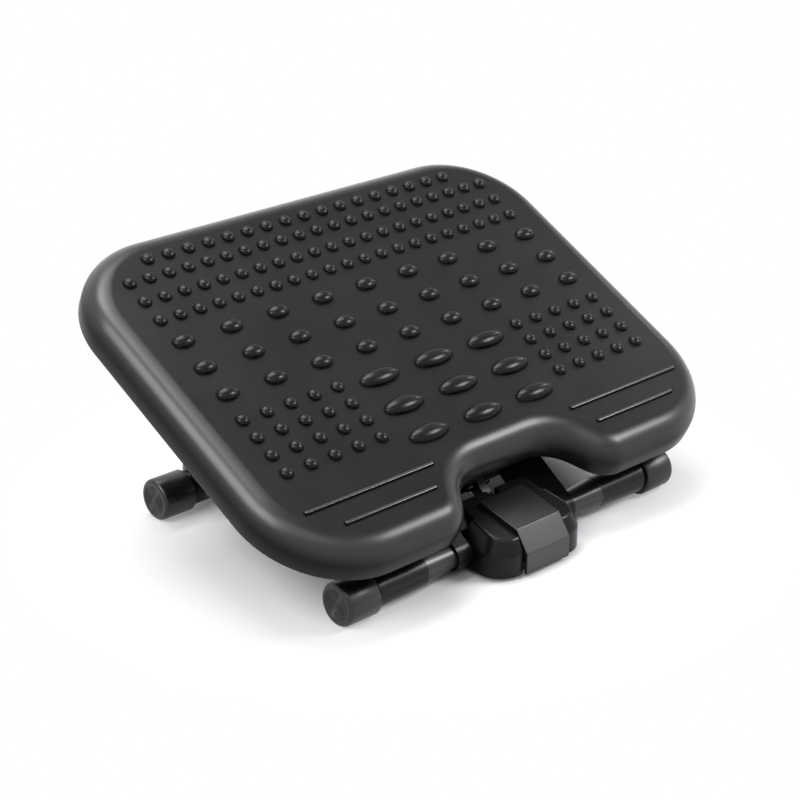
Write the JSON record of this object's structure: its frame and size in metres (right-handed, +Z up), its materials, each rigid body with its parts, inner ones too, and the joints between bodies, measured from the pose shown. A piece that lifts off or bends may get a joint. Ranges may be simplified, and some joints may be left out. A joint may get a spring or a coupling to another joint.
{
  "type": "footrest",
  "caption": "Tilting under desk footrest: a rounded platform with massage bumps on a lift arm, two tubular feet on rubber caps and a toe pedal that frees the height.",
  "frame": {"origin": "on the floor, under the middle of the footrest's outline", "axes": "+X to the right of a person who sits behind the front edge and looks at the bumps from the low side, +Y from the low front edge to the high back edge, +Z up"},
  "size_m": [0.433, 0.3102, 0.2049],
  "materials": {
    "moulded_plastic": "satin moulded black",
    "cap_rubber": "smooth black rubber",
    "black_steel": "black powder coat",
    "bright_steel": "zinc plated",
    "nylon": "dark nylon"
  },
  "bodies": {
    "base": {"front_tube": "black_steel", "rear_tube": "black_steel", "rear_saddle": "moulded_plastic", "front_block": "moulded_plastic", "block_base_plate": "moulded_plastic", "base_spine": "moulded_plastic", "pedal_pin": "bright_steel", "pedal_spring": "bright_steel", "front_sleeve_left": "moulded_plastic", "front_foot_cap_left": "cap_rubber", "front_sleeve_right": "moulded_plastic", "front_foot_cap_right": "cap_rubber", "rear_sleeve_left": "moulded_plastic", "rear_foot_cap_left": "cap_rubber", "rear_sleeve_right": "moulded_plastic", "rear_foot_cap_right": "cap_rubber", "base_plate_screw_1": "bright_steel", "base_plate_screw_2": "bright_steel", "base_plate_screw_3": "bright_steel", "base_plate_screw_4": "bright_steel", "spine_screw_front_left": "bright_steel", "spine_screw_front_right": "bright_steel", "spine_screw_rear_left": "bright_steel", "spine_screw_rear_right": "bright_steel"},
    "pedal": {"release_pedal": "moulded_plastic", "brake_shoe": "cap_rubber"},
    "lift_arm": {"lift_arm": "moulded_plastic", "height_sector": "black_steel", "sector_screw_left": "bright_steel", "sector_screw_right": "bright_steel", "arm_bushing_left": "nylon", "arm_bushing_right": "nylon"},
    "platform": {"platform": "moulded_plastic", "tilt_rod": "bright_steel", "tilt_bracket_left": "nylon", "tilt_bracket_right": "nylon", "friction_washer_left": "nylon", "friction_washer_right": "nylon", "tilt_rod_cap_left": "cap_rubber", "tilt_rod_cap_right": "cap_rubber", "bracket_screw_left_1": "bright_steel", "bracket_screw_left_2": "bright_steel", "bracket_screw_left_3": "bright_steel", "bracket_screw_left_4": "bright_steel", "bracket_screw_right_1": "bright_steel", "bracket_screw_right_2": "bright_steel", "bracket_screw_right_3": "bright_steel", "bracket_screw_right_4": "bright_steel"}
  },
  "joints": [
    {"name": "height", "type": "hinge", "parent": "base", "child": "lift_arm", "pos_m": [0, -0.11372, 0.0157], "axis": [1, 0, 0], "range_deg": [-14, 0]},
    {"name": "tilt", "type": "hinge", "parent": "lift_arm", "child": "platform", "pos_m": [0, 0.01443, 0.1002], "axis": [1, 0, 0], "range_deg": [-30, 4]},
    {"name": "pedal_press", "type": "hinge", "parent": "base", "child": "pedal", "pos_m": [0, -0.13372, 0.027], "axis": [1, 0, 0], "range_deg": [0, 6], "stiffness_Nm_per_rad": 0.14, "springref_deg": -17.19, "deforming": ["pedal_spring"]}
  ]
}
